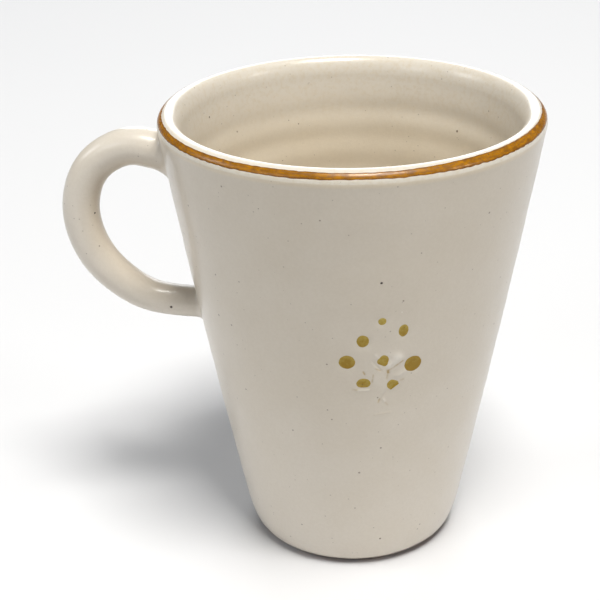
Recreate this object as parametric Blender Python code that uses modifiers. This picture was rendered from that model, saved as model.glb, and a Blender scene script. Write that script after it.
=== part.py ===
"""Hand-thrown stoneware mug: tapered cup, coil handle, ochre rim band and a sprig of glaze dots.

Metres, +Z up. The mug stands on Z = 0 with its axis on +Z, its handle towards -X and its
decorated side towards -Y. Pieces that touch keep a gap of GAP between their faces.
"""

from math import atan, cos, pi, radians, sin

import bmesh
import bpy
from mathutils import Matrix, Vector

# Cup
HEIGHT = 0.116
RIM_RADIUS = 0.0473
LIP_RADIUS = 0.0028
TAPER = 0.179
BELLY = 0.0006
WALL = 2 * LIP_RADIUS
FLOOR_THICKNESS = 0.0070
INNER_CORNER = 0.0075

# Foot
BASE_RADIUS = 0.0252
GLAZE_EDGE_RADIUS = 0.0259
GLAZE_EDGE_Z = 0.0012
FOOT_CURVE_Z = 0.0100

# Pieces that touch
GAP = 0.0003

# Ochre band on the outer shoulder of the lip, as angles round the lip's section
BAND_THICKNESS = 0.00035
BAND_LOW = radians(21)
BAND_HIGH = radians(58)

# Handle: a round coil in the XZ plane, as (distance from the axis, height, section radius)
HANDLE_PATH = (
    (0.0385, 0.1030, 0.0072),
    (0.0485, 0.1036, 0.0052),
    (0.0565, 0.1048, 0.0047),
    (0.0662, 0.0990, 0.0046),
    (0.0700, 0.0870, 0.0047),
    (0.0663, 0.0743, 0.0047),
    (0.0572, 0.0655, 0.0044),
    (0.0485, 0.0624, 0.0041),
    (0.0350, 0.0618, 0.0054),
)
HANDLE_SIDES_SETTING = 6
HANDLE_STEPS = 6

# Slip that joins the handle to the wall, as (height, half width, half height)
SLIP_THICKNESS = 0.0006
UPPER_SLIP = (0.1035, 0.0068, 0.0072)
LOWER_SLIP = (0.0622, 0.0056, 0.0056)

# Sprig: a centre dot and seven round it, most of them on one ring. Each dot is
# (direction from the centre, distance in ring radii, width, height), with 0 to the right
SPRIG_ANGLE = radians(-74.4)
SPRIG_HEIGHT = 0.0662
SPRIG_RING = 0.0077
DOT_THICKNESS = 0.0004
SPRIG_DOTS = {
    "sprig_dot_tip": (radians(93), 1.45, 0.0020, 0.0020),
    "sprig_dot_upper_right": (radians(60), 1.20, 0.0025, 0.0035),
    "sprig_dot_upper_left": (radians(130), 1.00, 0.0030, 0.0035),
    "sprig_dot_left": (radians(180), 1.10, 0.0040, 0.0040),
    "sprig_dot_centre": (0.0, 0.0, 0.0030, 0.0035),
    "sprig_dot_right": (radians(-15), 1.00, 0.0045, 0.0045),
    "sprig_dot_lower_left": (radians(-125), 1.00, 0.0035, 0.0030),
    "sprig_dot_lower_right": (radians(-70), 1.00, 0.0030, 0.0030),
}

# Mesh density
TURN_STEPS = 64
DOT_SIDES = 16
MERGE_DISTANCE = 0.00001

# Finishes, as (colour, roughness, metallic)
FINISHES = {
    "cream_glaze": ((0.56, 0.50, 0.42, 1.0), 0.35, 0.0),
    "joint_slip": ((0.52, 0.46, 0.38, 1.0), 0.45, 0.0),
    "ochre_band": ((0.36, 0.14, 0.02, 1.0), 0.40, 0.0),
    "ochre_dot": ((0.33, 0.23, 0.04, 1.0), 0.35, 0.0),
}

OBJECT_NAME = "stoneware_mug"


def clear_scene():
    for scene_object in list(bpy.data.objects):
        bpy.data.objects.remove(scene_object, do_unlink=True)


def make_collection(name):
    collection = bpy.data.collections.new(name)
    bpy.context.scene.collection.children.link(collection)
    return collection


def make_material(name):
    colour, roughness, metallic = FINISHES[name]
    material = bpy.data.materials.new(name)
    material.use_nodes = True
    shader = material.node_tree.nodes["Principled BSDF"]
    shader.inputs["Base Color"].default_value = colour
    shader.inputs["Roughness"].default_value = roughness
    shader.inputs["Metallic"].default_value = metallic
    material.diffuse_color = colour
    return material


def add_object(name, data, collection, parent=None, material=None):
    new_object = bpy.data.objects.new(name, data)
    collection.objects.link(new_object)
    new_object.parent = parent
    if material is not None:
        data.materials.append(material)
    return new_object


def make_cutter(cutter):
    cutter.hide_render = True
    cutter.display_type = "WIRE"
    return cutter


# ---------------------------------------------------------------- shapes of the turned wall

def wall_radius(z):
    """Outer radius of the cup's wall, a straight taper with a slight belly."""
    lip_z = HEIGHT - LIP_RADIUS
    belly = BELLY * 4 * (z / lip_z) * (1 - z / lip_z)
    return RIM_RADIUS - TAPER * (lip_z - z) + belly


def wall_points(top, bottom, offset, count):
    """Points down the outer wall, moved out by offset."""
    heights = [top + (bottom - top) * i / (count - 1) for i in range(count)]
    return [(wall_radius(z) + offset, z) for z in heights]


def arc(centre, radius, start, end, count):
    angles = [start + (end - start) * i / (count - 1) for i in range(count)]
    return [(centre[0] + radius * cos(a), centre[1] + radius * sin(a)) for a in angles]


def bezier(start, control, end, count):
    """Quadratic curve between two points, without its first point."""
    points = []
    for i in range(1, count + 1):
        t = i / count
        weights = ((1 - t) ** 2, 2 * t * (1 - t), t * t)
        points.append(tuple(
            sum(w * p[axis] for w, p in zip(weights, (start, control, end))) for axis in (0, 1)
        ))
    return points


def lip_centre():
    return (RIM_RADIUS - LIP_RADIUS, HEIGHT - LIP_RADIUS)


def cup_profile():
    """From the middle of the inner floor, up the inside, over the lip and down the outside."""
    lean = atan(TAPER)
    corner_top = (wall_radius(FLOOR_THICKNESS + INNER_CORNER) - WALL, FLOOR_THICKNESS + INNER_CORNER)
    corner = (wall_radius(FLOOR_THICKNESS) - WALL, FLOOR_THICKNESS)
    corner_inner = (corner[0] - INNER_CORNER, FLOOR_THICKNESS)
    inner_wall = wall_points(HEIGHT - LIP_RADIUS, corner_top[1], -WALL, 6)[:0:-1]

    gap_angle = GAP / LIP_RADIUS
    recess_radius = LIP_RADIUS - BAND_THICKNESS - GAP
    low = BAND_LOW - gap_angle
    high = BAND_HIGH + gap_angle
    lip_top = arc(lip_centre(), LIP_RADIUS, pi - lean, high, 8)
    recess = arc(lip_centre(), recess_radius, high, low, 4)
    shoulder = arc(lip_centre(), LIP_RADIUS, low, -lean, 4)

    outer_wall = wall_points(HEIGHT - LIP_RADIUS, FOOT_CURVE_Z, 0.0, 7)[1:]
    foot_start = outer_wall[-1]
    foot_control = (wall_radius(FOOT_CURVE_Z / 4), FOOT_CURVE_Z / 4)
    foot_end = (GLAZE_EDGE_RADIUS, GLAZE_EDGE_Z)

    profile = [(0.0, FLOOR_THICKNESS), corner_inner]
    profile += bezier(corner_inner, corner, corner_top, 5)[:-1]
    profile += inner_wall
    profile += lip_top + recess + shoulder
    profile += outer_wall
    profile += bezier(foot_start, foot_control, foot_end, 4)
    profile += [(BASE_RADIUS, 0.0), (0.0, 0.0)]
    return profile


def band_profile():
    """Closed section of the rim band, outer side first."""
    outer = arc(lip_centre(), LIP_RADIUS, BAND_HIGH, BAND_LOW, 4)
    inner = arc(lip_centre(), LIP_RADIUS - BAND_THICKNESS, BAND_LOW, BAND_HIGH, 4)
    return outer + inner


def turned_piece(name, profile, closed, collection, parent=None, material=None):
    """A profile in the XZ plane, turned round the Z axis by a Screw modifier."""
    mesh = bpy.data.meshes.new(name)
    edges = [(i, i + 1) for i in range(len(profile) - 1)]
    if closed:
        edges.append((len(profile) - 1, 0))
    mesh.from_pydata([(x, 0.0, z) for x, z in profile], edges, [])
    piece = add_object(name, mesh, collection, parent, material)
    screw = piece.modifiers.new("Turn", "SCREW")
    screw.axis = "Z"
    screw.angle = 2 * pi
    screw.steps = TURN_STEPS
    screw.render_steps = TURN_STEPS
    screw.use_merge_vertices = True
    screw.merge_threshold = MERGE_DISTANCE
    screw.use_smooth_shade = True
    return piece


def offset_wall_cutter(name, offset, collection):
    """Solid filled to the outer wall plus an offset, over the handle's whole height."""
    top = HEIGHT + 0.010
    bottom = 0.030
    profile = [(0.0, top)] + wall_points(top, bottom, offset, 12) + [(0.0, bottom)]
    return make_cutter(turned_piece(name, profile, False, collection))


def slip_shell_cutter(name, collection):
    """Thin shell over the wall, one gap away from it, where the joining slip lies."""
    top = HEIGHT + 0.005
    bottom = 0.040
    outer = wall_points(top, bottom, GAP + SLIP_THICKNESS, 10)
    inner = wall_points(bottom, top, GAP, 10)
    return make_cutter(turned_piece(name, outer + inner, True, collection))


def add_boolean(piece, operation, cutter):
    boolean = piece.modifiers.new(operation.title(), "BOOLEAN")
    boolean.operation = operation
    boolean.solver = "EXACT"
    boolean.object = cutter


# ---------------------------------------------------------------- glaze dots

def wall_frame(angle, z):
    """Frame on the outer wall: X to the right, Y up the wall, Z outwards."""
    lean = atan((wall_radius(z + GAP) - wall_radius(z - GAP)) / (2 * GAP))
    outward = Vector((cos(angle) * cos(lean), sin(angle) * cos(lean), -sin(lean)))
    upward = Vector((cos(angle) * sin(lean), sin(angle) * sin(lean), cos(lean)))
    place = Vector((wall_radius(z) * cos(angle), wall_radius(z) * sin(angle), z))
    rotation = Matrix((upward.cross(outward), upward, outward)).transposed()
    return Matrix.Translation(place) @ rotation.to_4x4()


def dot_frame(direction, rings_out):
    """Place on the wall in a direction from the sprig's centre, some ring radii out."""
    z = SPRIG_HEIGHT + rings_out * SPRIG_RING * sin(direction)
    offset_right = rings_out * SPRIG_RING * cos(direction)
    return wall_frame(SPRIG_ANGLE + offset_right / wall_radius(z), z)


def oval_disc_mesh(name, width, height, bottom, top):
    """Oval disc in its own frame, from bottom to top along its Z axis."""
    mesh = bpy.data.meshes.new(name)
    disc = bmesh.new()
    bmesh.ops.create_cone(
        disc,
        cap_ends=True,
        segments=DOT_SIDES,
        radius1=0.5,
        radius2=0.5,
        depth=top - bottom,
    )
    bmesh.ops.scale(disc, vec=(width, height, 1.0), verts=disc.verts)
    bmesh.ops.translate(disc, vec=(0.0, 0.0, (top + bottom) / 2), verts=disc.verts)
    disc.to_mesh(mesh)
    disc.free()
    return mesh


def make_dots(cup, parent, material, collection, cutters):
    """Eight glaze dots, each flush with the wall in a dimple of its own."""
    for name, (direction, rings_out, width, height) in SPRIG_DOTS.items():
        frame = dot_frame(direction, rings_out)
        disc = oval_disc_mesh(name, width, height, -DOT_THICKNESS, 0.0)
        dot = add_object(name, disc, collection, parent, material)
        dot.matrix_world = frame

        dimple = oval_disc_mesh(
            name + "_dimple",
            width + 2 * GAP,
            height + 2 * GAP,
            -DOT_THICKNESS - GAP,
            2 * DOT_THICKNESS,
        )
        cutter = make_cutter(add_object(name + "_dimple", dimple, cutters))
        cutter.matrix_world = frame
        add_boolean(cup, "DIFFERENCE", cutter)


# ---------------------------------------------------------------- handle and its joints

def handle_curve(name, collection):
    """Tapered round coil on a smooth curve through HANDLE_PATH."""
    curve = bpy.data.curves.new(name, "CURVE")
    curve.dimensions = "3D"
    curve.bevel_depth = 1.0
    curve.bevel_resolution = HANDLE_SIDES_SETTING
    curve.resolution_u = HANDLE_STEPS
    curve.use_fill_caps = True
    spline = curve.splines.new("BEZIER")
    spline.bezier_points.add(len(HANDLE_PATH) - 1)
    for point, (distance, z, radius) in zip(spline.bezier_points, HANDLE_PATH):
        point.co = (-distance, 0.0, z)
        point.radius = radius
        point.handle_left_type = "AUTO"
        point.handle_right_type = "AUTO"
    return add_object(name, curve, collection)


def curve_to_mesh(curve_object, name, parent, material, collection):
    """Solid mesh of a curve object, its caps welded on; the curve is removed."""
    depsgraph = bpy.context.evaluated_depsgraph_get()
    mesh = bpy.data.meshes.new_from_object(curve_object.evaluated_get(depsgraph))
    welded = bmesh.new()
    welded.from_mesh(mesh)
    bmesh.ops.remove_doubles(welded, verts=welded.verts, dist=MERGE_DISTANCE)
    welded.to_mesh(mesh)
    welded.free()
    mesh.shade_smooth()
    solid = add_object(name, mesh, collection, parent, material)
    solid.matrix_world = curve_object.matrix_world
    bpy.data.objects.remove(curve_object, do_unlink=True)
    return solid


def make_handle(parent, material, collection, cutters):
    """Coil handle, its ends cut to follow the wall and the slip on it."""
    curve = handle_curve("handle_path", collection)
    bpy.context.view_layer.update()
    handle = curve_to_mesh(curve, "handle", parent, material, collection)
    clearance = 2 * GAP + SLIP_THICKNESS
    add_boolean(handle, "DIFFERENCE", offset_wall_cutter("handle_end_cut", clearance, cutters))


def make_slip(name, size, shell, parent, material, collection):
    """Wafer of slip on the wall, where one end of the handle is stuck on."""
    z, half_width, half_height = size
    reach = 0.010
    disc = oval_disc_mesh(name, 2 * half_width, 2 * half_height, -reach, reach)
    slip = add_object(name, disc, collection, parent, material)
    slip.matrix_world = wall_frame(pi, z)
    add_boolean(slip, "INTERSECT", shell)


def main():
    clear_scene()
    pieces = make_collection(OBJECT_NAME)
    cutters = make_collection(OBJECT_NAME + "_cutters")
    root = add_object(OBJECT_NAME + "_root", None, pieces)
    glaze = make_material("cream_glaze")
    slip = make_material("joint_slip")
    band = make_material("ochre_band")
    dot = make_material("ochre_dot")

    cup = turned_piece("mug_body", cup_profile(), False, pieces, root, glaze)
    turned_piece("rim_band", band_profile(), True, pieces, root, band)
    make_dots(cup, root, dot, pieces, cutters)

    shell = slip_shell_cutter("slip_shell", cutters)
    make_slip("upper_joint_slip", UPPER_SLIP, shell, root, slip, pieces)
    make_slip("lower_joint_slip", LOWER_SLIP, shell, root, slip, pieces)
    make_handle(root, glaze, pieces, cutters)


main()
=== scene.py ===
"""Looks of the stoneware mug: fine thrown clay surfaces, glaze materials, light and camera."""

from math import atan, cos, pi, radians, sin, tau

import bpy
import numpy as np
from mathutils import Matrix, Vector


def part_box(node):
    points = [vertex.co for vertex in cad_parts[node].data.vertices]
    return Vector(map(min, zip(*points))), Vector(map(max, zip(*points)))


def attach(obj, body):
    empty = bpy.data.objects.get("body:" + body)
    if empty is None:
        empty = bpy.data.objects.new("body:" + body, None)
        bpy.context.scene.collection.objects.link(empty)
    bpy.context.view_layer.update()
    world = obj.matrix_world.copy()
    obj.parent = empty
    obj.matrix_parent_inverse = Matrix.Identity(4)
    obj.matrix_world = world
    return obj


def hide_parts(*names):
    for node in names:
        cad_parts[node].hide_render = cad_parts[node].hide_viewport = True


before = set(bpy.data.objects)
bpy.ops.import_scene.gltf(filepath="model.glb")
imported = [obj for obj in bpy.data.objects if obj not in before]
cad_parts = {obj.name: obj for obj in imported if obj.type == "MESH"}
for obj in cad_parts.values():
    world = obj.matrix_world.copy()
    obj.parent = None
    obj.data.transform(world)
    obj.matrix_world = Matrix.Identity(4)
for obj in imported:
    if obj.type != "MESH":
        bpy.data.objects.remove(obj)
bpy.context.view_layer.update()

MM = 0.001

# ------------------------------------------------------------------ sizes of the cup
CUP_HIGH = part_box("mug_body")[1]
HEIGHT = CUP_HIGH.z
RIM_RADIUS = CUP_HIGH.x
LIP_RADIUS = 2.8 * MM
LIP_HEIGHT = HEIGHT - LIP_RADIUS
TAPER = 0.179
BELLY = 0.6 * MM
# Inner side of the lip, a quarter ellipse: its reach across the lip, and down from the crest
LIP_INSIDE = (3.2 * MM, 7.0 * MM)
WALL = 5.48 * MM
FLOOR = 7.0 * MM
INNER_CORNER = 7.5 * MM
FOOT_CURVE = 10.0 * MM
# Where the glaze ends above the foot, as (radius, height), and the step in to the bare clay
GLAZE_EDGE = (25.9 * MM, 1.2 * MM)
GLAZE_STEP = (0.22 * MM, 0.05 * MM)
BASE_RADIUS = 25.2 * MM
BASE_CURVE = (BASE_RADIUS - 0.6 * MM, 0.1 * MM)
# The base stands on a ring and is hollow inside it. The last three are distances in from the ring
CONTACT_RADIUS = 24.0 * MM
BASE_HOLLOW = 0.5 * MM
STAND_WIDTH = 2.5 * MM
HOLLOW_START = 4.0 * MM
HOLLOW_FLAT = 6.0 * MM
# Radius of the smallest row, in the middle of the floor and of the base
CENTRE_RADIUS = 0.3 * MM
# Outside, the glaze turns paler from this height down, as where it ran and is thicker. Part of
# this stands in for light in the photograph that the lights here don't match
POOLED_AND_BOUNCE_UP_TO = 75.0 * MM
# Glaze thins over the lip, and is paler there and for a little way down inside. The paleness is partly
# painted light, falling from above on the lip and the top of the inner wall
LIP_PALENESS = 0.75
PALE_LIP_LOW = 96.0 * MM
PALE_LIP_FADE = 13.0 * MM
# Where the wiped glaze edge runs highest up the foot, on the front right. Its dark clay there is partly
# painted shade, standing in for the shadow under the foot
HIGH_EDGE_ANGLE = radians(-42)
HIGH_EDGE_REACH = radians(26)
# The wiped edge above GLAZE_EDGE, in mm: everywhere, more at its highest, waviness; then its fade
WIPED_HEIGHT = 0.45
WIPED_HIGHER_WITH_SHADE = 0.8
WIPED_WAVES = 0.16
WIPED_FADE = 0.45 * MM

# Unevenness of a hand-thrown rim: off centre, three-sided, and dipping to one side
RIM_OFF_CENTRE = 0.0060
RIM_OFF_CENTRE_ANGLE = radians(10)
RIM_THREE_SIDED = 0.0010
RIM_DIP = 0.10 * MM

# Turning lines outside, as (height, spacing per radian), and where they fade out
TURNING_FINE = (0.020 * MM, 1.15 * MM)
TURNING_BROAD = (0.035 * MM, 3.1 * MM)
TURNING_BELOW_LIP = 2 * MM
TURNING_FADE_UP = 6 * MM
TURNING_FADE_DOWN = 12 * MM
# Spiral left on the inner floor by the last finger stroke, as (height, spacing per radian)
FLOOR_SPIRAL = (0.10 * MM, 0.9 * MM)

# Throwing rings inside: grooves from the top one down, each step wider than the one before
RING_COUNT = 9
RING_TOP = 101.5 * MM
RING_STEP = 7.0 * MM
RING_STEP_GROWTH = 0.9 * MM
RING_REACH = 2.5 * MM
RING_REACH_GROWTH = 0.25 * MM
RING_DEPTH = 0.32 * MM
RING_UNEVEN = 0.25
RING_SWAY = 0.6
RING_SWAY_TWICE = 0.35

# Rows and columns of the cup's mesh. The export thins a piece of over 200,000 faces, and the
# cup has slightly fewer
WALL_ROWS = 30
SPRIG_ROWS = 146
INNER_ROWS = 108
SPRIG_COLUMNS = 112
OTHER_COLUMNS = 122

# ------------------------------------------------------------------ sizes of the handle
# The CAD coil's points again, as (distance from the axis, height, section radius), in mm.
# Its ends are slimmer than the CAD's, because the fillets make up the flare.
HANDLE_PATH = (
    (38.5, 103.0, 4.9),
    (48.5, 103.6, 4.9),
    (56.5, 104.8, 4.7),
    (66.2, 99.0, 4.6),
    (70.0, 87.0, 4.7),
    (66.3, 74.3, 4.7),
    (57.2, 65.5, 4.4),
    (48.5, 62.4, 4.1),
    (35.0, 61.8, 4.1),
)
# Fillet of slip at each end, as (mean radius, how much more it has inside the loop), in mm
UPPER_FILLET = (3.6, 1.6)
LOWER_FILLET = (2.2, -0.6)
FILLET_SWEEP = radians(85)
FILLET_BURIED = 0.5 * MM
# Samples of the path: between two of its points, evenly along all of it once it is smoothed, and
# along half of it in the search for the wall
PATH_SAMPLES = 60
EVEN_SAMPLES = 900
WALL_SAMPLES = 500
# Smoothing of the path: how many of the first kind of sample it reaches to either side, and
# how often it is done
SMOOTHING_REACH = 20
SMOOTHING_PASSES = 5
# Unevenness of the rolled coil: lumps, their length, and how oval its section is
COIL_LUMPS = 0.012
COIL_LUMP_LENGTH = 14 * MM
COIL_OVAL = 0.02
HANDLE_SIDES = 72
HANDLE_RINGS = 220
FILLET_RINGS = 16
# How strongly shade is painted on the handle as darker colour: facing into the loop, by the wall, and
# how fast the first fades from the upper end down
LOOP_PAINTED_SHADE = 0.75
JOINT_PAINTED_SHADE = 0.60
PAINTED_SHADE_FADE = 1.3

# ------------------------------------------------------------------ the rim band and the sprig
BAND_LOW = radians(20)
BAND_HIGH = radians(59)
BAND_RISE = 0.05 * MM
BAND_EDGE_SINK = 0.02 * MM
BAND_DEPTH = 0.25 * MM
BAND_COLUMNS = 720
BAND_ROWS = 15
# Brush marks along the band's edges: how many waves there are round the rim
BAND_RAGGED_TURNS = (9, 14, 23, 37, 52, 71, 96, 128)
# Where the brush went over its own start, and the band is wider
BAND_OVERLAP = radians(-32)
BAND_OVERLAP_REACH = radians(34)
BAND_OVERLAP_RISE = radians(11)
DOT_RISE = 0.07 * MM
DOT_DISH = 0.16 * MM
DOT_DISH_MARGIN = 0.5 * MM
DOT_EDGE_SINK = 0.015 * MM
DOT_DEPTH = 0.3 * MM
DOT_CORNER = 0.12 * MM
DOT_SIDES = 56
# Width and height together of a dot whose glaze is at its deepest
DOT_DEEPEST_SIZE = 4.3 * MM
# Part of the wall that has a fine mesh, from the sprig's centre
SPRIG_ABOVE = 14 * MM
SPRIG_BELOW = 18 * MM
SPRIG_TO_SIDE = 11.5 * MM
SPRIG_NODES = (
    "sprig_dot_tip",
    "sprig_dot_upper_right",
    "sprig_dot_upper_left",
    "sprig_dot_left",
    "sprig_dot_centre",
    "sprig_dot_right",
    "sprig_dot_lower_left",
    "sprig_dot_lower_right",
)
# Sides pressed straight by the stamp, as (direction, share of the dot's half size kept)
DOT_FLATS = {
    "sprig_dot_centre": ((radians(140), 0.78), (radians(-118), 0.84), (radians(-14), 0.86)),
    "sprig_dot_lower_left": ((radians(-92), 0.80),),
    "sprig_dot_lower_right": ((radians(-50), 0.70), (radians(66), 0.88)),
}
# Marks of the stamp around the dots, in mm to the right of the sprig's centre and up from it:
# (start, end, reach to either side, height, paleness, ochre). Below 0 the height is a groove.
# The paleness is partly thin glaze on raised marks and partly painted highlight where they face up to
# the light
STAMP_MARKS = (
    ((1.6, -1.4), (3.7, 0.4), 1.05, 0.36, 0.75, 0.0),
    ((0.6, 1.2), (3.0, 1.3), 1.10, 0.12, 0.35, 0.0),
    ((1.3, -3.0), (5.0, -0.4), 0.28, -0.10, 0.00, 0.0),
    ((1.5, -2.9), (4.8, -0.6), 0.16, 0.00, 0.00, 0.8),
    ((1.2, -2.9), (1.4, -3.5), 0.30, -0.10, 0.00, 1.0),
    ((1.3, -3.6), (1.1, -5.2), 0.22, -0.16, 0.00, 0.45),
    ((-2.0, 1.9), (-1.1, 1.0), 0.30, 0.16, 0.60, 0.0),
    ((-2.4, -0.2), (-0.4, -2.8), 0.26, -0.16, 0.00, 0.0),
    ((-1.6, -2.2), (-0.5, -2.8), 0.17, 0.00, 0.00, 0.5),
    ((3.9, -4.7), (5.6, -3.6), 0.80, 0.22, 0.30, 0.0),
    ((-1.4, -5.2), (0.5, -7.4), 1.50, 0.10, 0.22, 0.0),
    ((-4.6, -2.9), (-4.3, -3.6), 0.20, -0.10, 0.00, 0.9),
    ((-2.2, -3.9), (-2.4, -6.0), 0.16, -0.08, 0.00, 0.5),
    ((-6.0, -8.3), (-3.0, -8.3), 0.20, 0.20, 0.60, 0.0),
    ((-6.9, -8.0), (-5.9, -8.1), 0.22, 0.00, 0.00, 0.55),
    ((2.0, -8.8), (4.2, -7.1), 0.20, 0.20, 0.60, 0.0),
    ((4.5, -6.3), (5.2, -6.1), 0.20, 0.00, 0.00, 0.4),
    ((1.2, -8.9), (-0.5, -11.6), 0.32, -0.20, 0.00, 0.0),
    ((-0.4, -11.3), (-0.7, -12.2), 0.20, -0.06, 0.00, 0.75),
    ((0.4, -11.3), (0.8, -12.0), 0.24, 0.20, 0.50, 0.0),
    ((1.0, -12.4), (1.6, -13.2), 0.22, 0.00, 0.00, 0.25),
    ((-1.3, -15.9), (2.3, -15.5), 0.30, 0.14, 0.30, 0.15),
)

# Single pits and flecks: on the cup as (direction, height in mm, radius in mm), and on the
# handle as (share of its length, turn round its section, radius in mm)
CUP_PITS = ((radians(-76), 88.0, 0.35),)
CUP_FLECKS = ((radians(-69), 79.5, 0.20),)
HANDLE_PITS = ((0.46, radians(-30), 0.30), (0.87, radians(-95), 0.40))

# Paper on the floor: it falls into shade between these distances in front of the mug, below the
# bottom of the main view, and so sends less light back up the wall
PAPER_SHADE_START = 180.0 * MM
PAPER_SHADE_END = 450.0 * MM
PAPER_HALF_SIDE = 4.0
PAPER_DROP = 0.05 * MM

# ------------------------------------------------------------------ camera
CAMERA_AZIMUTH = radians(5)
CAMERA_ELEVATION = radians(25.39)
CAMERA_DISTANCE = 369.8 * MM
CAMERA_ROLL = radians(-1.43)
AIM_HEIGHT = 63.7 * MM
AIM_TO_LEFT = 13.3 * MM
LENS = 85.8
SENSOR_WIDTH = 36.0
CLIP_START = 0.01


# ================================================================== shape of the cup

def wall_radius(z):
    """Outer radius of the wall at height z, a straight taper with a slight belly."""
    share = z / LIP_HEIGHT
    return RIM_RADIUS - TAPER * (LIP_HEIGHT - z) + 4 * BELLY * share * (1 - share)


def thrown(points):
    """Slight unevenness of a hand-thrown cup, none at the foot and most at the rim."""
    points = np.asarray(points, float)
    angle = np.arctan2(points[..., 1], points[..., 0])
    share = np.clip(points[..., 2] / HEIGHT, 0, 1)
    swell = RIM_OFF_CENTRE * np.cos(angle - RIM_OFF_CENTRE_ANGLE)
    swell = swell + RIM_THREE_SIDED * np.cos(3 * angle - 1.0)
    swell = 1 + share**2 * swell
    moved = points.copy()
    moved[..., 0] *= swell
    moved[..., 1] *= swell
    moved[..., 2] += RIM_DIP * share**3 * (np.cos(angle + 2.2) - 1)
    return moved


def waves(angle, turns, seed):
    """Sum of a few sine waves round the cup, from about -1 to 1, the same each run."""
    random = np.random.default_rng(seed)
    total = np.zeros_like(angle)
    for turn in turns:
        total += random.uniform(0.6, 1.0) * np.sin(turn * angle + random.uniform(0, tau))
    return total / np.sqrt(len(turns))


def sprig_frame():
    """Angle and height of the sprig's centre, which is its middle dot's."""
    low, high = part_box("sprig_dot_centre")
    middle = (low + high) / 2
    return np.arctan2(middle.y, middle.x), middle.z


SPRIG_ANGLE, SPRIG_HEIGHT = sprig_frame()


def on_sprig(angle, z):
    """Place on the wall as distance to the right of the sprig's centre and up from it."""
    turn = (angle - SPRIG_ANGLE + pi) % tau - pi
    return turn * wall_radius(z), z - SPRIG_HEIGHT


# Places of a mark's amounts in its row of STAMP_MARKS
HEIGHT_OF_MARK, PALENESS_OF_MARK, OCHRE_OF_MARK = 3, 4, 5


def mark_field(right, up, kind):
    """Sum over the stamp's marks of one of their amounts, each a soft line across its width."""
    total = np.zeros(np.broadcast(right, up).shape)
    for mark in STAMP_MARKS:
        start, end, reach = mark[:3]
        a = np.array(start) * MM
        along = np.array(end) * MM - a
        share = ((right - a[0]) * along[0] + (up - a[1]) * along[1]) / (along @ along)
        share = np.clip(share, 0, 1)
        gap_right = right - a[0] - share * along[0]
        gap_up = up - a[1] - share * along[1]
        total += mark[kind] * np.exp(-(gap_right**2 + gap_up**2) / (reach * MM) ** 2)
    return total


def read_dots():
    """Centre on the wall and half sizes of each CAD dot: (angle, height, half width, half height)."""
    dots = {}
    for name in SPRIG_NODES:
        corners = np.array([v.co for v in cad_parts[name].data.vertices])
        middle = (corners.max(0) + corners.min(0)) / 2
        angle = np.arctan2(middle[1], middle[0])
        sideways = corners @ np.array((-sin(angle), cos(angle), 0))
        half_width = (sideways.max() - sideways.min()) / 2
        half_height = (corners[:, 2].max() - corners[:, 2].min()) / 2
        dots[name] = (angle, middle[2], half_width, half_height)
    return dots


DOTS = read_dots()


def wall_relief(angle, z):
    """How far the outer wall stands out of its plain taper: turning lines and the stamped sprig."""
    right, up = on_sprig(angle, z)
    relief = mark_field(right, up, HEIGHT_OF_MARK) * MM
    for dot_angle, dot_z, half_width, half_height in DOTS.values():
        turn = (angle - dot_angle + pi) % tau - pi
        dot_right = turn * wall_radius(z) / (half_width + DOT_DISH_MARGIN)
        dot_up = (z - dot_z) / (half_height + DOT_DISH_MARGIN)
        relief -= DOT_DISH * np.exp(-(dot_right**2 + dot_up**2) ** 2)
    share = np.clip(z / HEIGHT, 0, 1)
    turning = TURNING_FINE[0] * np.sin(z / TURNING_FINE[1] + 0.5 * np.sin(angle))
    turning += TURNING_BROAD[0] * np.sin(z / TURNING_BROAD[1] + angle / 2)
    fade = np.clip((LIP_HEIGHT - TURNING_BELOW_LIP - z) / TURNING_FADE_UP, 0, 1)
    fade = fade * np.clip(z / TURNING_FADE_DOWN, 0, 1)
    return relief + turning * fade * (0.5 + 0.5 * share)


def inner_relief(angle, z):
    """How far the inner wall is pressed outwards by the throwing rings."""
    relief = np.zeros(np.broadcast(angle, z).shape)
    for ring in range(RING_COUNT):
        height = RING_TOP - RING_STEP * ring - RING_STEP_GROWTH * ring * (ring - 1) / 2
        reach = RING_REACH + RING_REACH_GROWTH * ring
        sway = RING_SWAY * np.sin(angle + 1.3 * ring)
        sway = sway + RING_SWAY_TWICE * np.sin(2 * angle - ring)
        strength = RING_DEPTH * (1 + RING_UNEVEN * np.sin(angle * 2 + 2.1 * ring))
        relief += strength * np.exp(-((z - height - sway * MM) / reach) ** 2)
    return relief


def arc(centre, radius, start, end, count):
    angles = np.linspace(start, end, count)
    return np.stack([centre[0] + radius * np.cos(angles), centre[1] + radius * np.sin(angles)], 1)


def bezier(start, control, end, count):
    t = np.linspace(0, 1, count)[:, None]
    start, control, end = (np.array(p, float) for p in (start, control, end))
    return (1 - t) ** 2 * start + 2 * t * (1 - t) * control + t**2 * end


def straight(start, end, count):
    return np.linspace(np.array(start, float), np.array(end, float), count)


def lip_centre():
    return (RIM_RADIUS - LIP_RADIUS, LIP_HEIGHT)


def inner_lip():
    """Profile of the lip's inner side, an ellipse from the inner wall up to the lip's crest."""
    across, down = LIP_INSIDE
    turn = np.linspace(atan(TAPER * down / across), pi / 2, 26)
    out = lip_centre()[0] - across * np.cos(turn)
    return np.stack([out, HEIGHT - down + down * np.sin(turn)], 1)


def outer_heights():
    """Heights of the rows down the outer wall, close together over the sprig."""
    sprig_top = SPRIG_HEIGHT + SPRIG_ABOVE
    sprig_bottom = SPRIG_HEIGHT - SPRIG_BELOW
    return np.concatenate([
        np.linspace(LIP_HEIGHT, sprig_top, WALL_ROWS)[1:-1],
        np.linspace(sprig_top, sprig_bottom, SPRIG_ROWS),
        np.linspace(sprig_bottom, FOOT_CURVE, WALL_ROWS)[1:],
    ])


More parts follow.
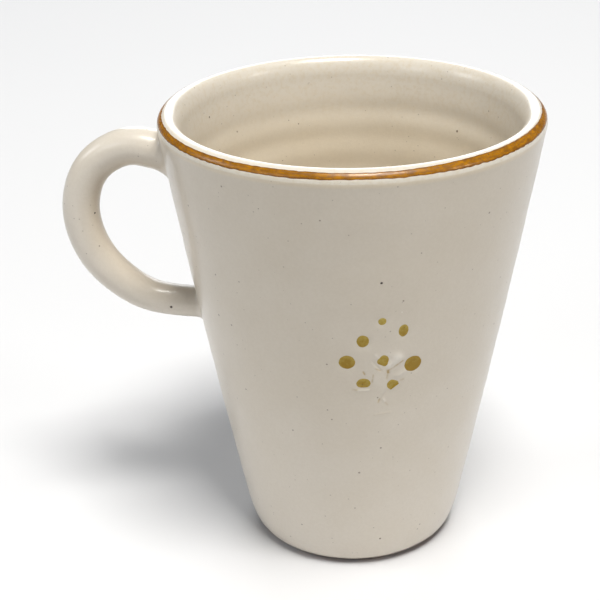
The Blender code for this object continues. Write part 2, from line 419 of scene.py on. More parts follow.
def cup_sections():
    """Named stretches of the cup's profile, from the inner floor's centre to the base's centre."""
    lean = atan(TAPER)
    corner_top = (wall_radius(FLOOR + INNER_CORNER) - WALL, FLOOR + INNER_CORNER)
    corner = (wall_radius(FLOOR) - WALL, FLOOR)
    corner_inner = (corner[0] - INNER_CORNER, FLOOR)
    lip_inside = inner_lip()
    inner = np.linspace(corner_top[1], lip_inside[0, 1], INNER_ROWS)[1:-1]
    outer = outer_heights()
    foot_control = (wall_radius(FOOT_CURVE / 4), FOOT_CURVE / 4)
    foot_start = (wall_radius(FOOT_CURVE), FOOT_CURVE)
    bare_top = (GLAZE_EDGE[0] - GLAZE_STEP[0], GLAZE_EDGE[1] - GLAZE_STEP[1])
    stand_inside = (CONTACT_RADIUS - STAND_WIDTH, 0.0)
    hollow_start = (CONTACT_RADIUS - HOLLOW_START, BASE_HOLLOW)
    hollow_flat = (CONTACT_RADIUS - HOLLOW_FLAT, BASE_HOLLOW)
    return (
        ("floor", straight((CENTRE_RADIUS, FLOOR), corner_inner, 10)),
        ("floor", bezier(corner_inner, corner, corner_top, 14)[1:]),
        ("inner", np.stack([wall_radius(inner) - WALL, inner], 1)),
        ("lip", lip_inside),
        ("lip", arc(lip_centre(), LIP_RADIUS, pi / 2, -lean, 22)[1:]),
        ("outer", np.stack([wall_radius(outer), outer], 1)),
        ("foot", bezier(foot_start, foot_control, GLAZE_EDGE, 16)[1:]),
        ("bare", bezier(bare_top, BASE_CURVE, (CONTACT_RADIUS, 0.0), 9)),
        ("bare", straight(stand_inside, hollow_start, 4)),
        ("bare", straight(hollow_flat, (CENTRE_RADIUS, BASE_HOLLOW), 10)),
    )


def cup_angles():
    """Angles of the columns round the cup, close together over the sprig."""
    half = SPRIG_TO_SIDE / wall_radius(SPRIG_HEIGHT)
    dense = np.linspace(SPRIG_ANGLE - half, SPRIG_ANGLE + half, SPRIG_COLUMNS)
    coarse = np.linspace(SPRIG_ANGLE + half, SPRIG_ANGLE - half + tau, OTHER_COLUMNS)[1:-1]
    return np.concatenate([dense, coarse])


# ================================================================== meshes from grids

def close_mesh(name, points, faces):
    """Object from points and faces of a closed surface, turned so that its faces point out."""
    points = np.asarray(points, float)
    volume = 0.0
    for face in faces:
        a = points[face[0]]
        for k in range(1, len(face) - 1):
            volume += a @ np.cross(points[face[k]], points[face[k + 1]])
    if volume < 0:
        faces = [face[::-1] for face in faces]
    mesh = bpy.data.meshes.new(name)
    mesh.from_pydata(points.tolist(), [], faces)
    mesh.update()
    mesh.shade_smooth()
    piece = bpy.data.objects.new(name, mesh)
    bpy.context.scene.collection.objects.link(piece)
    return piece


def grid_faces(rows, columns, wrap_rows=False):
    faces = []
    for i in range(rows if wrap_rows else rows - 1):
        below = (i + 1) % rows
        for j in range(columns):
            k = (j + 1) % columns
            faces.append((i * columns + j, below * columns + j, below * columns + k, i * columns + k))
    return faces


def capped_grid(name, grid):
    """Closed tube-like surface: rows of a grid of points, with a fan over its first and last row."""
    rows, columns = grid.shape[:2]
    points = np.concatenate([
        grid.reshape(-1, 3),
        grid[0].mean(0)[None],
        grid[-1].mean(0)[None],
    ])
    faces = grid_faces(rows, columns)
    first, last = rows * columns, rows * columns + 1
    for j in range(columns):
        k = (j + 1) % columns
        faces.append((first, j, k))
        faces.append((last, (rows - 1) * columns + k, (rows - 1) * columns + j))
    return close_mesh(name, points, faces)


# ================================================================== pieces

def on_wall(marks):
    """Places and radii of single marks on the outer wall."""
    placed = []
    for direction, height, radius in marks:
        ring = wall_radius(height * MM)
        point = (ring * cos(direction), ring * sin(direction), height * MM)
        placed.append((thrown(point), radius * MM))
    return placed


def make_cup():
    """Thrown cup: one closed surface, its bare clay foot in a second material slot."""
    angles = cup_angles()
    rows, inner_side = [], []
    bare_from = None
    for kind, profile in cup_sections():
        if kind == "bare" and bare_from is None:
            bare_from = len(rows)
        for radius, z in profile:
            ring = np.full_like(angles, radius)
            height = np.full_like(angles, z)
            if kind == "outer":
                ring = ring + wall_relief(angles, height)
            if kind == "inner":
                ring = ring + inner_relief(angles, height)
            if kind == "floor":
                height = height + FLOOR_SPIRAL[0] * np.sin(radius / FLOOR_SPIRAL[1] - angles)
            rows.append(np.stack([ring * np.cos(angles), ring * np.sin(angles), height], 1))
            inner_side.append(np.full_like(angles, kind in ("floor", "inner", "lip")))
    grid = thrown(np.array(rows))
    cup = capped_grid("thrown_cup", grid)
    store(cup, "inner_side", np.concatenate([np.concatenate(inner_side), [1, 0]]))
    pits, flecks = on_wall(CUP_PITS), on_wall(CUP_FLECKS)
    cup.data.materials.append(cream_glaze("cream_glaze", pits, flecks, on_cup=True))
    cup.data.materials.append(bare_clay("bare_clay"))
    columns = len(angles)
    for face in cup.data.polygons:
        row = min(v // columns for v in face.vertices)
        face.material_index = 1 if row >= bare_from else 0
    paint_traces(cup)
    return cup


def store(piece, attribute, values):
    """Keeps a number for each point of a piece, for its material to read."""
    layer = piece.data.attributes.new(attribute, "FLOAT", "POINT")
    layer.data.foreach_set("value", np.clip(values, 0, 1).astype(np.float32))


def paint_traces(cup):
    """Stores where ochre glaze ran into the sprig's creases, where glaze is thin and pale on its ridges
    and over the lip, partly painted light and highlight there, and where it was wiped off the foot,
    partly painted shade under the foot on the front right."""
    count = len(cup.data.vertices)
    points = np.empty(count * 3, np.float32)
    cup.data.vertices.foreach_get("co", points)
    points = points.reshape(-1, 3).astype(float)
    angle = np.arctan2(points[:, 1], points[:, 0])
    right, up = on_sprig(angle, points[:, 2])
    outside = np.hypot(points[:, 0], points[:, 1]) > wall_radius(points[:, 2]) - WALL / 2
    store(cup, "ochre_trace", mark_field(right, up, OCHRE_OF_MARK) * outside)
    # Over the lip and a little way down inside: paler, partly thin glaze and partly painted light from
    # above
    thin_glaze_and_lit = LIP_PALENESS * np.clip((points[:, 2] - PALE_LIP_LOW) / PALE_LIP_FADE, 0, 1)
    ridges = mark_field(right, up, PALENESS_OF_MARK)
    store(cup, "pale_ridge", np.where(outside & (points[:, 2] < LIP_HEIGHT), ridges, thin_glaze_and_lit))
    # The dark clay of the wiped foot is partly painted shade, the shadow under the foot, most on the
    # front right
    from_high = (angle - HIGH_EDGE_ANGLE + pi) % tau - pi
    edge_height_and_shade = WIPED_HEIGHT + WIPED_HIGHER_WITH_SHADE * np.exp(-(from_high / HIGH_EDGE_REACH) ** 2)
    edge_height_and_shade = edge_height_and_shade + WIPED_WAVES * waves(angle, (7, 13, 22, 35), 9)
    bare = (edge_height_and_shade * MM - (points[:, 2] - GLAZE_EDGE[1])) / WIPED_FADE
    store(cup, "foot_wipe_and_shade", bare * outside)


def band_edge(angles, middle, ragged, wander, wander_turns, seed):
    """One edge of the band, as angles of the lip's section: ragged, and slowly wandering."""
    edge = middle + ragged * waves(angles, BAND_RAGGED_TURNS, seed)
    return edge + wander * waves(angles, wander_turns, seed + 1)


def make_band():
    """Brushed ochre band on the lip's outer shoulder, its edges slightly ragged."""
    angles = np.linspace(0, tau, BAND_COLUMNS, endpoint=False)
    low = band_edge(angles, BAND_LOW, radians(1.6), radians(1.0), (2, 3, 5), 3)
    high = band_edge(angles, BAND_HIGH, radians(1.3), radians(1.2), (2, 4, 5), 5)
    from_overlap = (angles - BAND_OVERLAP + pi) % tau - pi
    high += BAND_OVERLAP_RISE * np.exp(-(from_overlap / BAND_OVERLAP_REACH) ** 4)
    across = np.linspace(-1, 1, BAND_ROWS)
    rows = []
    for share in across:
        section = (low + high) / 2 + share * (high - low) / 2
        rise = BAND_RISE * (1 - abs(share) ** 5) - BAND_EDGE_SINK
        rows.append(lip_ring(section, LIP_RADIUS + rise, angles))
    for share in across[::-1]:
        section = (low + high) / 2 + share * (high - low) / 2
        rows.append(lip_ring(section, LIP_RADIUS - BAND_DEPTH, angles))
    grid = thrown(np.array(rows))
    faces = grid_faces(len(rows), len(angles), wrap_rows=True)
    band = close_mesh("brushed_rim_band", grid.reshape(-1, 3), faces)
    to_edge = np.abs(np.concatenate([across, across[::-1]]))
    store(band, "band_edge", np.repeat(to_edge, len(angles)))
    band.data.materials.append(ochre_band("ochre_band"))
    return band


def lip_ring(section, radius, angles):
    """Points round the rim, each at an angle of the lip's round section."""
    centre = lip_centre()
    out = centre[0] + radius * np.cos(section)
    height = centre[1] + radius * np.sin(section)
    return np.stack([out * np.cos(angles), out * np.sin(angles), height], 1)


def dot_outline(name, turn, half_width, half_height, seed):
    """Distance from a dot's centre to its edge in each direction."""
    edge = 1 / np.sqrt((np.cos(turn) / half_width) ** 2 + (np.sin(turn) / half_height) ** 2)
    edge *= 1 + 0.02 * waves(turn, (2, 3, 5, 8), seed)
    for direction, kept in DOT_FLATS.get(name, ()):
        reach = kept * (half_width + half_height) / 2
        facing = np.maximum(np.cos(turn - direction), 1e-3)
        flat = reach / facing
        edge = -DOT_CORNER * np.log(np.exp(-edge / DOT_CORNER) + np.exp(-flat / DOT_CORNER))
    return edge


def make_dot(name, seed):
    """Pool of ochre glaze in its dimple, following the wall; larger pools are deeper in colour."""
    angle, z, half_width, half_height = DOTS[name]
    turn = np.linspace(0, tau, DOT_SIDES, endpoint=False)
    edge = dot_outline(name, turn, half_width, half_height, seed)
    shares = np.concatenate([np.linspace(0.06, 0.80, 9), np.linspace(0.86, 1.0, 6)])
    rows, depth = [], []
    pool = (half_width + half_height) / DOT_DEEPEST_SIZE
    for share in shares:
        rise = DOT_RISE * (1 - share**6) - DOT_EDGE_SINK
        rows.append(dot_ring(angle, z, share * edge, turn, rise))
        depth.append(pool - 0.22 * share**4 - 0.16 * share * np.sin(turn))
    for share in shares[::-2]:
        rows.append(dot_ring(angle, z, share * edge, turn, -DOT_DEPTH))
        depth.append(np.full_like(turn, pool))
    dot = capped_grid("glaze_" + name, thrown(np.array(rows)))
    store(dot, "glaze_depth", np.concatenate([np.concatenate(depth), [pool, pool]]))
    dot.data.materials.append(ochre_dot("ochre_dot"))
    return dot


def dot_ring(angle, z, reach, turn, rise):
    """Points round a dot's centre on the wall, lifted off it by rise."""
    height = z + reach * np.sin(turn)
    around = angle + reach * np.cos(turn) / wall_radius(z)
    radius = wall_radius(height) + wall_relief(around, height) + rise
    return np.stack([radius * np.cos(around), radius * np.sin(around), height], 1)


# ------------------------------------------------------------------ handle

def smooth_path():
    """Fine points and radii along the handle's path, smoothed, so it passes near HANDLE_PATH."""
    control = np.array(HANDLE_PATH) * MM
    padded = np.concatenate([2 * control[:1] - control[1:2], control, 2 * control[-1:] - control[-2:-1]])
    fine = []
    t = np.linspace(0, 1, PATH_SAMPLES, endpoint=False)[:, None]
    for a, b, c, d in zip(padded, padded[1:], padded[2:], padded[3:]):
        fine.append(0.5 * (2 * b + (c - a) * t + (2 * a - 5 * b + 4 * c - d) * t**2
                           + (3 * b - a - 3 * c + d) * t**3))
    path = np.concatenate(fine + [control[-1:]])
    reach = SMOOTHING_REACH
    kernel = np.hanning(2 * reach + 3)[1:-1]
    kernel /= kernel.sum()
    for _ in range(SMOOTHING_PASSES):
        padded = np.pad(path, ((reach, reach), (0, 0)), mode="reflect", reflect_type="odd")
        path = np.stack([np.convolve(padded[:, k], kernel, mode="valid") for k in range(3)], 1)
    step = np.linalg.norm(np.diff(path[:, :2], axis=0), axis=1)
    length = np.concatenate([[0], np.cumsum(step)])
    even = np.linspace(0, length[-1], EVEN_SAMPLES)
    return np.stack([np.interp(even, length, path[:, k]) for k in range(3)], 1)


class Coil:
    """The handle's surface: a point for each distance along the path and angle round it."""

    def __init__(self):
        path = smooth_path()
        step = np.linalg.norm(np.diff(path[:, :2], axis=0), axis=1)
        self.length = np.concatenate([[0], np.cumsum(step)])
        self.centre = np.stack([-path[:, 0], np.zeros(len(path)), path[:, 1]], 1)
        tangent = np.gradient(self.centre, self.length, axis=0)
        tangent /= np.linalg.norm(tangent, axis=1)[:, None]
        self.sideways = np.stack([-tangent[:, 2], np.zeros(len(path)), tangent[:, 0]], 1)
        self.radius = path[:, 2]

    def look(self, distance, column):
        """Value at a distance along the path, from a column of values at its samples."""
        return np.interp(distance, self.length, column)

    def at(self, distance, turn, extra=0.0):
        """Point at a distance along the path; turn 0 is the side that faces into the loop."""
        centre = np.stack([self.look(distance, self.centre[:, k]) for k in range(3)], -1)
        sideways = np.stack([self.look(distance, self.sideways[:, k]) for k in range(3)], -1)
        uneven = 1 + COIL_LUMPS * np.sin(3 * turn + distance / COIL_LUMP_LENGTH)
        uneven = uneven + COIL_OVAL * np.cos(2 * turn)
        radius = self.look(distance, self.radius) * uneven + extra
        across = np.stack([np.zeros_like(turn), np.ones_like(turn), np.zeros_like(turn)], -1)
        out = np.cos(turn)[..., None] * sideways + np.sin(turn)[..., None] * across
        return centre + radius[..., None] * out

    def meets_wall(self, turn, extra, upper):
        """Distance along the path where the line at this turn, moved out by extra, meets the wall."""
        half = self.length[-1] / 2
        end = 0 if upper else self.length[-1]
        samples = np.linspace(end, half, WALL_SAMPLES)
        distance = samples[:, None] * np.ones_like(turn)
        points = self.at(distance, turn[None] * np.ones_like(distance), extra)
        clear = np.hypot(points[..., 0], points[..., 1]) - wall_radius(points[..., 2])
        first = np.argmax(clear > 0, axis=0)
        column = np.arange(len(turn))
        before, after = clear[first - 1, column], clear[first, column]
        share = before / (before - after)
        return samples[first - 1] + share * (samples[first] - samples[first - 1])


def fillet_rows(coil, turn, fillet, upper):
    """Rows of a fillet from the wall out to the coil, and where on the coil it starts."""
    mean, more = (value * MM for value in fillet)
    size = mean + more * np.cos(turn)
    inward = 1 if upper else -1
    rows, places = [], []
    for swing in np.linspace(FILLET_SWEEP, 0, FILLET_RINGS):
        extra = size * (1 - cos(swing))
        from_wall = size * (1 - sin(swing))
        place = coil.meets_wall(turn, extra, upper) + inward * from_wall
        rows.append(coil.at(place, turn, extra))
        places.append(place)
    start = places[0] - inward * FILLET_BURIED
    buried = coil.at(start, turn, size * (1 - cos(FILLET_SWEEP)))
    return [buried] + rows, places[-1]


def surface_normals(grid):
    """Unit normals of a grid of points whose columns close on themselves."""
    down = np.gradient(grid, axis=0)
    wide = np.concatenate([grid[:, -1:], grid, grid[:, :1]], 1)
    across = (wide[:, 2:] - wide[:, :-2]) / 2
    normal = np.cross(down, across)
    return normal / np.linalg.norm(normal, axis=2)[..., None]


def handle_painted_shade(turn, upper_rows, lower_rows, count):
    """Painted shade on the handle: darker on the loop's inner side, and in the creases by the wall."""
    row = np.arange(count)[:, None]
    by_wall = np.clip(1 - row / upper_rows, 0, 1)
    by_wall = by_wall + np.clip(1 - (count - 1 - row) / lower_rows, 0, 1)
    facing_loop = np.clip(np.cos(turn), 0, 1)[None]
    upper_half = np.clip(PAINTED_SHADE_FADE - PAINTED_SHADE_FADE * row / count, 0, 1)
    return np.clip(LOOP_PAINTED_SHADE * facing_loop * upper_half + JOINT_PAINTED_SHADE * by_wall**2, 0, 1)


def on_coil(coil, marks):
    """Places and radii of single marks on the handle."""
    placed = []
    for share, turn, radius in marks:
        point = coil.at(np.array(share * coil.length[-1]), np.array(turn))
        placed.append((thrown(point), radius * MM))
    return placed


def make_handle():
    """The coil and the two fillets of slip, cut from one continuous surface."""
    coil = Coil()
    turn = np.linspace(0, tau, HANDLE_SIDES, endpoint=False)
    upper_rows, upper_start = fillet_rows(coil, turn, UPPER_FILLET, True)
    lower_rows, lower_start = fillet_rows(coil, turn, LOWER_FILLET, False)
    shares = np.linspace(0, 1, HANDLE_RINGS)
    middle = [coil.at(upper_start + share * (lower_start - upper_start), turn) for share in shares]
    whole = thrown(np.array(upper_rows[:-1] + middle + lower_rows[::-1][1:]))
    normals = surface_normals(whole)
    first = len(upper_rows) - 1
    last = first + HANDLE_RINGS - 1
    stretches = {
        "upper_slip_fillet": (0, first),
        "coil_handle": (first, last),
        "lower_slip_fillet": (last, len(whole) - 1),
    }
    glaze = cream_glaze("handle_glaze", on_coil(coil, HANDLE_PITS))
    shade_paint = handle_painted_shade(turn, first, len(whole) - 1 - last, len(whole))
    pieces = {}
    for name, (start, end) in stretches.items():
        piece = capped_grid(name, whole[start:end + 1])
        store(piece, "handle_painted_shade", np.concatenate([shade_paint[start:end + 1].ravel(), [0, 0]]))
        keep_normals(piece, normals[start:end + 1])
        piece.data.materials.append(glaze)
        pieces[name] = piece
    return pieces


def keep_normals(piece, normals):
    """Gives a cut stretch the shading of the whole surface, so that no seam shows."""
    side = normals.reshape(-1, 3)
    count = len(piece.data.vertices)
    built = np.empty(count * 3, np.float32)
    piece.data.vertices.foreach_get("normal", built)
    built = built.reshape(-1, 3)
    middle = len(side) // 2
    if built[middle] @ side[middle] < 0:
        side = -side
    built[:len(side)] = side
    piece.data.normals_split_custom_set_from_vertices(built.tolist())


# ================================================================== materials

class Nodes:
    """Short way to build a node tree: each call adds a node and returns its first output."""

    def __init__(self, name):
        self.material = bpy.data.materials.new(name)
        self.material.use_nodes = True
        self.tree = self.material.node_tree
        self.shader = self.tree.nodes["Principled BSDF"]

    def add(self, kind, inputs=(), output=0, **settings):
        node = self.tree.nodes.new(kind)
        for setting, value in settings.items():
            setattr(node, setting, value)
        for socket, value in dict(inputs).items():
            if isinstance(value, bpy.types.NodeSocket):
                self.tree.links.new(value, node.inputs[socket])
            else:
                node.inputs[socket].default_value = value
        return node.outputs[output]

    def place(self):
        return self.add("ShaderNodeTexCoord", output="Object")

    def math(self, operation, a, b, clamp=False):
        return self.add("ShaderNodeMath", {0: a, 1: b}, operation=operation, use_clamp=clamp)

    def noise(self, place, scale, detail, roughness=0.5):
        return self.add(
            "ShaderNodeTexNoise",
            {"Vector": place, "Scale": scale, "Detail": detail, "Roughness": roughness},
            output="Fac",
        )

    def ramp(self, value, low, high, to_low=0.0, to_high=1.0):
        return self.add(
            "ShaderNodeMapRange",
            {"Value": value, "From Min": low, "From Max": high, "To Min": to_low, "To Max": to_high},
            interpolation_type="SMOOTHSTEP",
        )

    def split(self, vector):
        parts = self.tree.nodes.new("ShaderNodeSeparateXYZ")
        self.tree.links.new(vector, parts.inputs[0])
        return parts.outputs

    def stored(self, attribute):
        return self.add("ShaderNodeAttribute", output="Fac", attribute_name=attribute)

    def mix(self, share, a, b, blend="MIX"):
        """Colour a, turning into colour b as the share goes to 1."""
        node = self.tree.nodes.new("ShaderNodeMix")
        node.data_type = "RGBA"
        node.blend_type = blend
        for socket, value in ((node.inputs[0], share), (node.inputs[6], a), (node.inputs[7], b)):
            if isinstance(value, bpy.types.NodeSocket):
                self.tree.links.new(value, socket)
            else:
                socket.default_value = value
        return node.outputs[2]

    def tint(self, share, colour, by):
        """The colour, multiplied by another as the share goes to 1."""
        return self.mix(share, colour, by, "MULTIPLY")

    def specks(self, place, spacing, size, share, strength):
        """Mask of round specks: one in each cell of this spacing, on a share of the cells."""
        cell = {"Vector": place, "Scale": 1 / spacing, "Randomness": 1.0}
        distance = self.add("ShaderNodeTexVoronoi", cell, output="Distance")
        chance = self.add("ShaderNodeTexVoronoi", cell, output="Color")
        parts = self.split(chance)
        shown = self.math("LESS_THAN", parts[0], share)
        radius = self.math("MULTIPLY", parts[1], size / spacing)
        inside = self.math("SUBTRACT", radius, distance)
        soft = self.math("MULTIPLY", inside, spacing / SPECK_FADE, clamp=True)
        return self.math("MULTIPLY", self.math("MULTIPLY", soft, shown), strength)

    def spots(self, place, spots):
        """Mask of single round spots, each given by its place and radius."""
        total = 0.0
        for centre, radius in spots:
            distance = self.add(
                "ShaderNodeVectorMath", {0: place, 1: list(centre)},
                output="Value", operation="DISTANCE",
            )
            spot = self.ramp(distance, SPOT_CORE * radius, SPOT_REACH * radius, 1.0, 0.0)
            total = self.math("ADD", spot, total, clamp=True)
        return total

    def bump(self, height, distance, normal=None):
        inputs = {"Height": height, "Distance": distance, "Strength": 1.0}
        if normal is not None:
            inputs["Normal"] = normal
        return self.add("ShaderNodeBump", inputs, output="Normal")

    def finish(self, sockets):
        for socket, value in sockets.items():
            if isinstance(value, bpy.types.NodeSocket):
                self.tree.links.new(value, self.shader.inputs[socket])
            else:
                self.shader.inputs[socket].default_value = value
        return self.material


SPECK_FADE = 0.06 * MM
SPOT_CORE = 0.55
SPOT_REACH = 1.1
# Iron specks in the glaze: (spacing, largest radius, share of the cells with one, strength)
GLAZE_SPECKS = (
    (1.5 * MM, 0.22 * MM, 0.50, 0.40),
    (3.0 * MM, 0.32 * MM, 0.50, 0.60),
    (8.0 * MM, 0.50 * MM, 0.40, 0.85),
)

CREAM = (0.615, 0.553, 0.462, 1.0)
# Cream of the handle, paler than the cup's: partly thinner glaze, partly painted light from the left and
# back
CREAM_HANDLE = (0.670, 0.612, 0.528, 1.0)
# Cream of the inside, paler and warmer than outside: painted light that the inner wall gets from above
# and from its own walls
CREAM_INSIDE_LIT = (0.655, 0.575, 0.450, 1.0)
CLOUD_TINT = (0.950, 0.935, 0.905, 1.0)
# Paler tint of the lower outside: partly pooled glaze, partly painted light bounced up from the floor
POOLED_AND_BOUNCE_TINT = (1.110, 1.125, 1.160, 1.0)
# Darkening used for the painted shade on the handle
PAINTED_SHADE_TINT = (0.760, 0.690, 0.590, 1.0)
PALE_TINT = (1.060, 1.070, 1.085, 1.0)
# Pale of thin glaze on raised marks and the lip, also used as painted light and highlight there
RIDGE_PALE = (0.720, 0.675, 0.600, 1.0)
PAPER = (0.730, 0.730, 0.740, 1.0)
PAPER_SHADED = (0.300, 0.300, 0.305, 1.0)
SPECK_BROWN = (0.110, 0.065, 0.040, 1.0)
PIT_BROWN = (0.045, 0.024, 0.014, 1.0)
OCHRE_TRACE = (0.380, 0.240, 0.050, 1.0)
OCHRE_PALE = (0.500, 0.395, 0.085, 1.0)
OCHRE_DEEP = (0.300, 0.175, 0.003, 1.0)
BAND_GOLD = (0.420, 0.175, 0.008, 1.0)
BAND_BROWN = (0.115, 0.040, 0.005, 1.0)
CLAY = (0.300, 0.160, 0.075, 1.0)
CLAY_DARK = (0.110, 0.060, 0.032, 1.0)


def cream_glaze(name, pits, flecks=(), on_cup=False):
    """Satin cream glaze, faintly mottled, with iron specks and an orange-peel surface."""
    n = Nodes(name)
    place = n.place()
    cloudy = n.ramp(n.noise(place, 70.0, 3.0), 0.30, 0.70)
    mottle = n.ramp(n.noise(place, 1300.0, 3.0, 0.6), 0.30, 0.70)
    # The handle's paler cream is partly thinner glaze and partly painted light from the left and back
    # The inside's paler, warmer cream is painted light from above and from the cup's own walls
    colour = n.mix(n.stored("inner_side"), CREAM, CREAM_INSIDE_LIT) if on_cup else CREAM_HANDLE
    colour = n.tint(n.math("MULTIPLY", cloudy, 0.5), colour, CLOUD_TINT)
    colour = n.tint(n.math("MULTIPLY", mottle, 0.5), colour, PALE_TINT)
    if not on_cup:
        # Painted shade: the handle is darker where it faces into the loop and in the creases by the wall
        colour = n.tint(n.stored("handle_painted_shade"), colour, PAINTED_SHADE_TINT)
    if on_cup:
        # The lower outside turns paler: partly pooled glaze, partly painted light bounced up from the
        # floor
        pooled_and_bounce = n.ramp(n.split(place)[2], 0.0, POOLED_AND_BOUNCE_UP_TO, 1.0, 0.0)
        outside = n.math("SUBTRACT", 1.0, n.stored("inner_side"))
        colour = n.tint(n.math("MULTIPLY", pooled_and_bounce, outside), colour, POOLED_AND_BOUNCE_TINT)
        broken = n.ramp(n.noise(place, 900.0, 2.0, 0.6), 0.25, 0.60, 0.35, 1.0)
        # Pale on the sprig's ridges and over the lip: partly thin glaze, partly painted light and
        # highlight
        colour = n.mix(n.math("MULTIPLY", n.stored("pale_ridge"), broken), colour, RIDGE_PALE)
        colour = n.mix(n.spots(place, flecks), colour, RIDGE_PALE)
        colour = n.mix(n.math("MULTIPLY", n.stored("ochre_trace"), broken), colour, OCHRE_TRACE)
    for speck in GLAZE_SPECKS:
        colour = n.mix(n.specks(place, *speck), colour, SPECK_BROWN)
    pit = n.spots(place, pits)
    colour = n.mix(pit, colour, PIT_BROWN)
    if on_cup:
        # Dark clay where glaze was wiped off the foot; partly painted shade under the foot, most on the
        # front right
        colour = n.mix(n.math("MULTIPLY", n.stored("foot_wipe_and_shade"), 0.85), colour, CLAY_DARK)
    normal = n.bump(n.noise(place, 2600.0, 2.0, 0.6), 0.022 * MM)
    normal = n.bump(n.noise(place, 650.0, 2.0, 0.5), 0.005 * MM, normal)
    normal = n.bump(n.math("SUBTRACT", 1.0, pit), 0.20 * MM, normal)
    roughness = n.ramp(n.noise(place, 300.0, 3.0), 0.3, 0.7, 0.29, 0.33)
    return n.finish({
        "Base Color": colour,
        "Roughness": roughness,
        "IOR": 1.45,
        "Coat Weight": 0.25,
        "Coat Roughness": 0.12,
        "Normal": normal,
    })


def bare_clay(name):
    """Unglazed stoneware at the foot, toasted brown, with grog."""
    n = Nodes(name)
    place = n.place()
    toast = n.ramp(n.noise(place, 160.0, 4.0, 0.6), 0.35, 0.70)
    colour = n.mix(toast, CLAY, CLAY_DARK)
    colour = n.mix(n.specks(place, 0.9 * MM, 0.26 * MM, 0.5, 0.7), colour, SPECK_BROWN)
    normal = n.bump(n.noise(place, 1800.0, 4.0, 0.7), 0.05 * MM)
    return n.finish({"Base Color": colour, "Roughness": 0.82, "Normal": normal})


def ochre_band(name):
    """Iron ochre brushed round the rim: streaks along the brush, darker specks and edges."""
    n = Nodes(name)
    place = n.place()
    parts = n.split(place)
    turn = n.math("ARCTAN2", parts[1], parts[0])
    along = n.math("MULTIPLY", turn, RIM_RADIUS * 0.22)
    brush = n.add("ShaderNodeCombineXYZ", {0: along, 1: parts[2], 2: 0.0})
    streak = n.ramp(n.noise(brush, 2600.0, 4.0, 0.6), 0.42, 0.60)
    blotch = n.ramp(n.noise(place, 420.0, 4.0, 0.65), 0.44, 0.66)
    colour = n.mix(n.math("MULTIPLY", streak, 0.50), BAND_GOLD, BAND_BROWN)
    colour = n.mix(n.math("MULTIPLY", blotch, 0.45), colour, BAND_BROWN)
    colour = n.mix(n.ramp(n.stored("band_edge"), 0.50, 1.0, 0.0, 0.85), colour, BAND_BROWN)
    colour = n.mix(n.specks(place, 1.0 * MM, 0.26 * MM, 0.45, 0.75), colour, SPECK_BROWN)
    normal = n.bump(n.noise(place, 2200.0, 3.0, 0.6), 0.012 * MM)
    return n.finish({
        "Base Color": colour,
        "Roughness": n.ramp(streak, 0.0, 1.0, 0.24, 0.36),
        "IOR": 1.42,
        "Normal": normal,
    })


def ochre_dot(name):
    """Olive ochre glaze that has pooled in a dimple, browner where it is thick."""
    n = Nodes(name)
    place = n.place()
    uneven = n.ramp(n.noise(place, 800.0, 3.0, 0.6), 0.25, 0.75, -0.25, 0.25)
    depth = n.math("ADD", n.stored("glaze_depth"), uneven, clamp=True)
    colour = n.mix(depth, OCHRE_PALE, OCHRE_DEEP)
    colour = n.mix(n.specks(place, 0.9 * MM, 0.18 * MM, 0.45, 0.6), colour, SPECK_BROWN)
    normal = n.bump(n.noise(place, 1500.0, 2.0, 0.5), 0.010 * MM)
    return n.finish({
        "Base Color": colour,
        "Roughness": 0.34,
        "IOR": 1.38,
        "Normal": normal,
    })


def paper_white(name):
    """Matt paper, white around the mug and shaded in front of it, out of the main view."""
    n = Nodes(name)
    forward = n.math("MULTIPLY", n.split(n.place())[1], -1.0)
    shade = n.ramp(forward, PAPER_SHADE_START, PAPER_SHADE_END)
    colour = n.mix(shade, PAPER, PAPER_SHADED)
    return n.finish({"Base Color": colour, "Roughness": 0.9})


# ================================================================== stage

WARM = (1.0, 0.985, 0.95)
WHITE = (1.0, 1.0, 1.0)
COOL = (0.93, 0.965, 1.0)
# Softboxes, as (name, azimuth, elevation, distance in m, side in m, brightness on the floor,
# colour), with the angles in degrees
SOFTBOXES = (
    ("key_softbox", 31, 72.5, 2.2, 0.76, 1.10, WARM),
    ("front_right_fill", 25, 29, 2.6, 1.00, 0.02, WHITE),
    ("right_strip", 75, 29, 2.6, 0.45, 0.045, WHITE),
    ("left_fill", 275, 29, 2.6, 0.70, 0.07, COOL),
    ("front_left_fill", 318, 29, 2.6, 0.70, 0.045, COOL),
    ("back_fill", 185, 22, 2.6, 1.60, 0.16, COOL),
)
WORLD_COLOUR = (0.97, 0.98, 1.0, 1.0)
WORLD_STRENGTH = 0.08


def make_floor():
    mesh = bpy.data.meshes.new("floor")
    half = PAPER_HALF_SIDE
    below = -PAPER_DROP
    corners = [(-half, -half, below), (half, -half, below), (half, half, below), (-half, half, below)]
    mesh.from_pydata(corners, [], [(0, 1, 2, 3)])
    mesh.materials.append(paper_white("paper_white"))
    floor = bpy.data.objects.new("floor", mesh)
    bpy.context.scene.collection.objects.link(floor)


def area_light(name, azimuth, elevation, distance, size, on_floor, colour):
    """Square softbox aimed at the mug. Azimuth 0 is towards -Y, 90 towards +X; on_floor is
    the part of full white that it makes of white paper at the mug's foot."""
    light = bpy.data.lights.new(name, "AREA")
    light.shape = "SQUARE"
    light.size = size
    light.energy = on_floor * (pi * distance) ** 2 / sin(radians(elevation))
    light.color = colour
    softbox = bpy.data.objects.new(name, light)
    away = Vector((
        sin(radians(azimuth)) * cos(radians(elevation)),
        -cos(radians(azimuth)) * cos(radians(elevation)),
        sin(radians(elevation)),
    ))
    softbox.location = Vector((0, 0, HEIGHT / 2)) + distance * away
    softbox.rotation_euler = away.to_track_quat("Z", "Y").to_euler()
    bpy.context.scene.collection.objects.link(softbox)


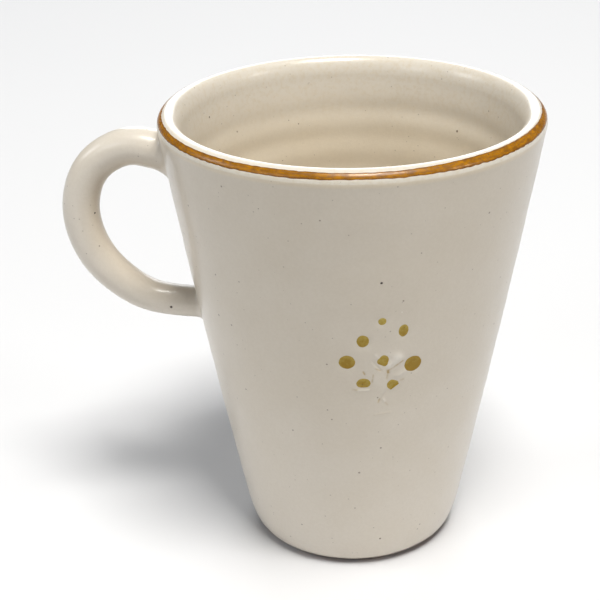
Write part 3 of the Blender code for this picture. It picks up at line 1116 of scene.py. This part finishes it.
def make_lights():
    for softbox in SOFTBOXES:
        area_light(*softbox)
    world = bpy.data.worlds.new("studio")
    world.use_nodes = True
    background = world.node_tree.nodes["Background"]
    background.inputs["Color"].default_value = WORLD_COLOUR
    background.inputs["Strength"].default_value = WORLD_STRENGTH
    bpy.context.scene.world = world


def make_camera():
    """Camera on the photograph's side of the mug, a little towards +X of straight ahead."""
    spin = Matrix.Rotation(CAMERA_AZIMUTH, 3, "Z")
    place = spin @ Vector((
        0.0,
        -CAMERA_DISTANCE * cos(CAMERA_ELEVATION),
        AIM_HEIGHT + CAMERA_DISTANCE * sin(CAMERA_ELEVATION),
    ))
    aim = spin @ Vector((-AIM_TO_LEFT, 0.0, AIM_HEIGHT))
    forward = (aim - place).normalized()
    right = forward.cross(Vector((0, 0, 1))).normalized()
    up = right.cross(forward)
    rolled_right = cos(CAMERA_ROLL) * right + sin(CAMERA_ROLL) * up
    rolled_up = -sin(CAMERA_ROLL) * right + cos(CAMERA_ROLL) * up
    data = bpy.data.cameras.new("camera")
    data.lens = LENS
    data.sensor_width = SENSOR_WIDTH
    data.clip_start = CLIP_START
    camera = bpy.data.objects.new("camera", data)
    turn = Matrix((rolled_right, rolled_up, -forward)).transposed()
    camera.matrix_world = Matrix.Translation(place) @ turn.to_4x4()
    bpy.context.scene.collection.objects.link(camera)
    bpy.context.scene.camera = camera
    bpy.context.scene.view_settings.view_transform = "Standard"


# ================================================================== assembly

def settle(piece, material_slot, *nodes):
    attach(piece, "root")
    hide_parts(*nodes)


def main():
    make_camera()
    make_lights()
    make_floor()
    settle(make_cup(), "cream_glaze", "mug_body")
    settle(make_band(), "ochre_band", "rim_band")
    handle = make_handle()
    settle(handle["coil_handle"], "cream_glaze", "handle")
    settle(handle["upper_slip_fillet"], "joint_slip", "upper_joint_slip")
    settle(handle["lower_slip_fillet"], "joint_slip", "lower_joint_slip")
    for seed, name in enumerate(SPRIG_NODES):
        settle(make_dot(name, seed), "ochre_dot", name)


main()
